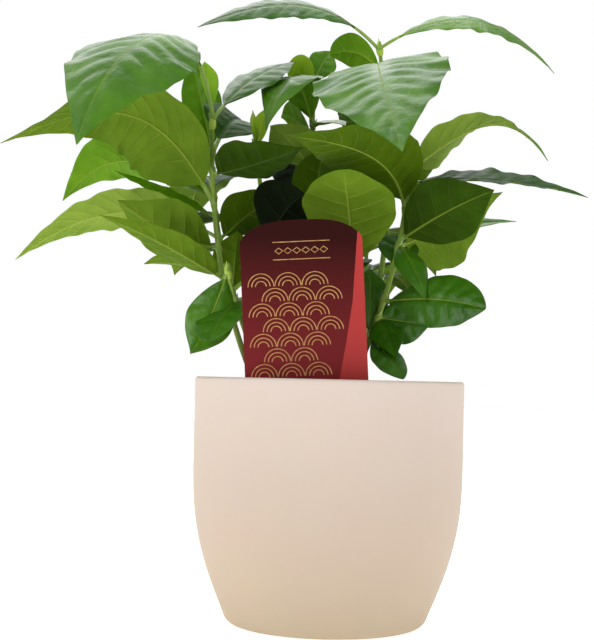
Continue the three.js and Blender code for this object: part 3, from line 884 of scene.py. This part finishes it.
def card(tree, place, top, foot):
    """Coated card, offset printed and laminated: an even ink that deepens from foot to top, a soft sheen, and the
    faint 1.5 mm mottle of the board under the film."""
    height = add_node(tree, "SeparateXYZ", links={"Vector": place}).outputs["Z"]
    low = CARD_FOOT[2] * MM
    share = add_node(
        tree, "MapRange", {"From Min": low, "From Max": low + (CARD_SHOULDER + CARD_DOME) * MM}, {"Value": height})
    ink = add_node(tree, "ValToRGB", links={"Fac": share}, stops=[(0.1, foot), (0.9, top)])
    mottle = add_node(tree, "TexNoise", {"Scale": per_mm(1.5), "Detail": 3.0}, {"Vector": place})
    bump = add_node(tree, "Bump", {"Strength": 0.1, "Distance": 0.0002}, {"Height": mottle})
    return add_node(
        tree, "BsdfPrincipled", {"Roughness": 0.5, "Specular IOR Level": 0.1}, {"Base Color": ink, "Normal": bump})


def gold_ink(tree, place):
    """Metallic printing ink: a dull gold that catches light without a mirror's shine, uneven at 2 mm."""
    wear = add_node(tree, "TexNoise", {"Scale": per_mm(2), "Detail": 2.0}, {"Vector": place})
    colour = add_node(tree, "ValToRGB", links={"Fac": wear}, stops=[(0.3, "#b5834a"), (0.7, "#d2a868")])
    return add_node(tree, "BsdfPrincipled", {"Metallic": 0.35, "Roughness": 0.42}, {"Base Color": colour})


def stem_bark(tree, place):
    """Young coffee stem: smooth green skin that turns to thin grey-brown bark near the soil, with fine lengthwise
    streaks about 0.8 mm wide."""
    height = add_node(tree, "SeparateXYZ", links={"Vector": place}).outputs["Z"]
    long_way = add_node(tree, "Mapping", {"Scale": (1.0, 1.0, 0.16)}, {"Vector": place})
    streak = add_node(tree, "TexNoise", {"Scale": per_mm(0.8), "Detail": 3.0}, {"Vector": long_way})
    wander = add_node(tree, "TexNoise", {"Scale": per_mm(9), "Detail": 2.0}, {"Vector": place})
    uneven = add_node(tree, "Math", {1: 0.03}, {0: wander, 2: height}, operation="MULTIPLY_ADD")
    low, high = ((SOIL_TOP + above) * MM for above in BARK_HEIGHTS)
    share = add_node(tree, "MapRange", {"From Min": low, "From Max": high}, {"Value": uneven})
    stops = [(0.0, "#745c38"), (1.0, "#7c9f33"), (0.16, "#7f8d34"), (0.45, "#8bab3e")]
    skin = add_node(tree, "ValToRGB", links={"Fac": share}, stops=stops)
    tint = add_node(
        tree, "Mix", {MIX_SHARE: 0.45}, {COLOUR_A: skin, COLOUR_B: streak.outputs["Color"]},
        data_type="RGBA", blend_type="MULTIPLY")
    bump = add_node(tree, "Bump", {"Strength": 0.35, "Distance": 0.0003}, {"Height": streak})
    return add_node(
        tree, "BsdfPrincipled", {"Roughness": 0.5, "Specular IOR Level": 0.3},
        {"Base Color": tint.outputs[COLOUR_MIXED], "Normal": bump})


def leaf_skin(tree, place, deep, bright, through, roughness, gloss, wax, thin):
    """Coffee leaf skin: deep and bright are the two greens that drift into each other over about 20 mm, through is
    the light that the blade lets by, gloss the skin's own shine, wax the strength of the film over it and thin the
    share of light let by. The skin puckers between its small veins, about 7 mm apart, which breaks up the gloss."""
    drift = add_node(tree, "TexNoise", {"Scale": per_mm(20), "Detail": 3.0, "Roughness": 0.55}, {"Vector": place})
    greens = add_node(tree, "ValToRGB", links={"Fac": drift}, stops=[(0.34, deep), (0.66, bright)])
    puckers = add_node(tree, "TexNoise", {"Scale": per_mm(7), "Detail": 3.0, "Roughness": 0.6}, {"Vector": place})
    bump = add_node(tree, "Bump", {"Strength": 0.7, "Distance": 0.0014}, {"Height": puckers})
    patchy = add_node(
        tree, "MapRange",
        {"From Min": 0.3, "From Max": 0.7, "To Min": roughness - 0.05, "To Max": roughness + 0.07},
        {"Value": drift})
    shader = add_node(
        tree, "BsdfPrincipled", {"Specular IOR Level": gloss, "Coat Weight": wax, "Coat Roughness": WAX_ROUGHNESS},
        {"Base Color": greens, "Normal": bump, "Roughness": patchy})
    glow = add_node(tree, "BsdfTranslucent", {"Color": through})
    return add_node(tree, "MixShader", {0: thin}, {1: shader, 2: glow})


def plain_skin(tree, place, colour, roughness, gloss):
    """Leaf stalk, bud and rib skin: smooth and fleshy with its own gloss, and a drift of tone over about 6 mm."""
    drift = add_node(tree, "TexNoise", {"Scale": per_mm(6), "Detail": 2.0}, {"Vector": place})
    tint = add_node(
        tree, "Mix", {MIX_SHARE: 0.25, COLOUR_A: colour}, {COLOUR_B: drift.outputs["Color"]},
        data_type="RGBA", blend_type="MULTIPLY")
    return add_node(
        tree, "BsdfPrincipled", {"Roughness": roughness, "Specular IOR Level": gloss},
        {"Base Color": tint.outputs[COLOUR_MIXED]})


def white_paper(tree, place):
    """Studio floor: a roll of matt white paper, lit evenly enough to print almost white."""
    fibre = add_node(tree, "TexNoise", {"Scale": per_mm(60), "Detail": 2.0}, {"Vector": place})
    tone = add_node(tree, "ValToRGB", links={"Fac": fibre}, stops=[(0.2, "#f6f5f4"), (0.8, "#faf9f8")])
    return add_node(
        tree, "BsdfPrincipled",
        {"Roughness": 0.95, "Specular IOR Level": 0.1, "Emission Color": "#ffffff", "Emission Strength": FLOOR_GLOW},
        {"Base Color": tone})


# Tones of leaf, from one deep in the shade to one that has just opened, which paint shade and light as well as age: the
# shaded tone is painted shade, and the lighter tones stand in part for light. Each has the top skin's deep and bright
# green, the underside's, the light that comes through, the ribs, and the share of the full shine that the top skin has
LEAF_TONES = {
    "shaded": ("#0a1502", "#102003", "#0a1303", "#0f1c03", "#0c1e02", "#162207", 0.15),
    "old": ("#102802", "#1c3d04", "#1a3304", "#234006", "#1e3f04", "#2a440c", 0.1),
    "dull": ("#254d06", "#346409", "#2b4206", "#365408", "#325e06", "#405b11", 0.12),
    "full": ("#2b5805", "#3d700a", "#45600d", "#53710a", "#53850a", "#677f20", 0.8),
    "green": ("#3b6c09", "#50830d", "#5a7817", "#6b8921", "#6d9f0d", "#82992f", 1),
    "bright": ("#4b7d09", "#5f900f", "#62911c", "#74a323", "#87b911", "#8dab36", 0.4),
    "fresh": ("#598c0b", "#70a111", "#809f35", "#95b046", "#a1d013", "#a9bd52", 0.5),
    "young": ("#6ea10b", "#87b413", "#95bd2a", "#a8ca37", "#c5ee1c", "#b6cd4d", 0.8),
}
TONE_STEPS = (-0.8, -0.55, -0.3, -0.05, 0.2, 0.45, 0.7)
TOP_ROUGHNESS = 0.36
TOP_GLOSS = 0.27
TOP_WAX = 0.22
WAX_ROUGHNESS = 0.2
TOP_THIN = 0.16
UNDER_ROUGHNESS = 0.6
UNDER_GLOSS = 0.05
UNDER_THIN = 0.2
RIB_ROUGHNESS = 0.6
RIB_GLOSS = 0.12
STALK_ROUGHNESS = 0.42
BUD_ROUGHNESS = 0.38
FLESH_GLOSS = 0.5

# The plant and its pot

leaf_finishes = []
rib_finishes = []
for tone, (deep, bright, under_deep, under_bright, through, rib, gloss) in LEAF_TONES.items():
    leaf_finishes.append(make_material(
        f"waxy upper skin of a {tone} leaf", leaf_skin, deep, bright, through, TOP_ROUGHNESS, TOP_GLOSS * gloss,
        TOP_WAX * gloss, TOP_THIN))
    leaf_finishes.append(make_material(
        f"matt lower skin of a {tone} leaf", leaf_skin, under_deep, under_bright, through, UNDER_ROUGHNESS,
        UNDER_GLOSS, 0.0, UNDER_THIN))
    rib_finishes.append(make_material(f"rib of a {tone} leaf", plain_skin, rib, RIB_ROUGHNESS, RIB_GLOSS))
stalk_skin = make_material("fleshy leaf stalk", plain_skin, "#86a640", STALK_ROUGHNESS, FLESH_GLOSS)
bud_skin = make_material("smooth green bud", plain_skin, "#a8c43c", BUD_ROUGHNESS, FLESH_GLOSS)
bark = make_material("young coffee bark", stem_bark)
ceramic = make_material("matt sprayed earthenware", pot_ceramic)
soil_finish = make_material("damp peat mix", peat)

make_piece("cover_pot", pot_shape(), [ceramic], "pot", ["pot"])
make_piece("potting_mix", soil_shape(), [soil_finish], "soil", ["soil"])
make_piece("peat_crumbs", crumbs_shape(), [soil_finish], "soil")

card_finishes = [
    make_material("laminated card, maroon ink", card, "#2c0706", "#752023"),
    # The right part of the card is a lighter red than the rest
    make_material("laminated card, lighter red part", card, "#ac3836", "#a23634"),
    make_material("laminated card, plain back", card, "#5c1a1a", "#5c1a1a")]
make_piece("plant_label", card_shape(), card_finishes, "label", ["label"], smooth=False)
print_shape = joined([scale_pattern(), top_ornament(), foot_ornament()])
make_piece("label_print", print_shape, [make_material("gold printing ink", gold_ink)], "label")

rib_parts = []
for name in SEEDLINGS:
    make_piece(f"shoot_{name}", stem_shape(name), [bark, bud_skin], "stem", nodes_named(f"stem_{name}"))
    blades = []
    for row in LEAVES[name]:
        leaf = leaf_form(name, row)
        # A leaf's tone and its underside's pick its colours, and with them painted shade and light
        over, under = np.searchsorted(TONE_STEPS, [leaf.tone, leaf.under]).tolist()
        blades.append(blade_shape(leaf, (2 * over, 2 * under + 1, 2 * len(LEAF_TONES))))
        rib_parts += [midrib_shape(leaf, max(over, under)), ribs_shape(leaf, under)]
    finishes = leaf_finishes + [stalk_skin]
    make_piece(f"foliage_{name}", joined(blades), finishes, "leaf", nodes_named(f"leaves_{name}"))
make_piece("leaf_ribs", joined(rib_parts), rib_finishes, "leaf")
make_piece("stipules", joined([stipules(name) for name in SEEDLINGS]), [stalk_skin], "stem")

# Floor

FLOOR_RADIUS = 6000
FLOOR_DEPTH = 30
FLOOR_GLOW = 0.55


def floor_shape():
    """A round disc of floor just under the pot's foot."""
    return lathe([(0, -FLOOR_DEPTH), (FLOOR_RADIUS, -FLOOR_DEPTH), (FLOOR_RADIUS, 0), (0, 0)], 96)


make_piece("studio_floor", floor_shape(), [make_material("matt white studio paper", white_paper)])

# Camera: the place and the turns that lay the photograph's pot and leaves over the model's

CAMERA_DISTANCE = 720
CAMERA_HEIGHT = 126
CAMERA_YAW = 0.0246
CAMERA_PITCH = 0.0425
CAMERA_ROLL = 0.0225
FOCAL_PIXELS = 1375
PHOTO_WIDTH = 594
SENSOR_WIDTH = 36

camera_data = bpy.data.cameras.new("studio camera")
camera_data.sensor_fit = "HORIZONTAL"
camera_data.sensor_width = SENSOR_WIDTH
camera_data.lens = SENSOR_WIDTH * FOCAL_PIXELS / PHOTO_WIDTH
camera_data.clip_start = 0.01
camera_data.clip_end = 50
camera = new_object("studio camera", camera_data)
place = Matrix.Translation((0, -CAMERA_DISTANCE * MM, CAMERA_HEIGHT * MM))
yaw = Matrix.Rotation(CAMERA_YAW, 4, "Z")
pitch = Matrix.Rotation(math.pi / 2 + CAMERA_PITCH, 4, "X")
camera.matrix_world = place @ yaw @ pitch @ Matrix.Rotation(CAMERA_ROLL, 4, "Z")
bpy.context.scene.camera = camera

# Light: a studio with a bright ceiling and dimmer walls, seen as plain white by the camera, and three soft boxes

STUDIO_BACK = 0.55
STUDIO_FRONT = 0.14
STUDIO_CEILING = 0.8
LIGHT_AIM = (0, 0, 0.2)
SOFT_BOXES = (
    ("key soft box", (-1.1, -1.1, 0.9), 1.0, 12.0),
    ("side soft box", (1.3, -0.7, 0.7), 0.9, 6.5),
    ("top soft box", (-0.3, 0.8, 1.4), 1.5, 16.0))

world = bpy.data.worlds.new("white studio")
world.use_nodes = True
sky = world.node_tree
sky.nodes.clear()
way = add_node(sky, "TexCoord").outputs["Generated"]
split = add_node(sky, "SeparateXYZ", links={"Vector": way})
walls = add_node(
    sky, "MapRange", {"From Min": -0.8, "From Max": 0.4, "To Min": STUDIO_FRONT, "To Max": STUDIO_BACK},
    {"Value": split.outputs["Y"]}, interpolation_type="SMOOTHSTEP")
overhead = add_node(
    sky, "MapRange", {"From Min": 0.3, "From Max": 0.8}, {"Value": split.outputs["Z"]},
    interpolation_type="SMOOTHSTEP")
lit = add_node(sky, "Mix", {VALUE_B: STUDIO_CEILING}, {MIX_SHARE: overhead, VALUE_A: walls}, data_type="FLOAT")
to_camera = add_node(sky, "LightPath").outputs["Is Camera Ray"]
seen = add_node(sky, "Mix", {VALUE_B: 1.0}, {MIX_SHARE: to_camera, VALUE_A: lit}, data_type="FLOAT")
studio = add_node(sky, "Background", {"Color": "#ffffff"}, {"Strength": seen})
add_node(sky, "OutputWorld", links={"Surface": studio})
bpy.context.scene.world = world
for name, place, size, power in SOFT_BOXES:
    light_data = bpy.data.lights.new(name, "AREA")
    light_data.shape = "SQUARE"
    light_data.size = size
    light_data.energy = power
    light = new_object(name, light_data)
    light.location = place
    aim = Vector(LIGHT_AIM) - Vector(place)
    light.rotation_euler = aim.to_track_quat("-Z", "Y").to_euler()

bpy.context.scene.view_settings.view_transform = "Standard"
bpy.context.scene.view_settings.look = "None"
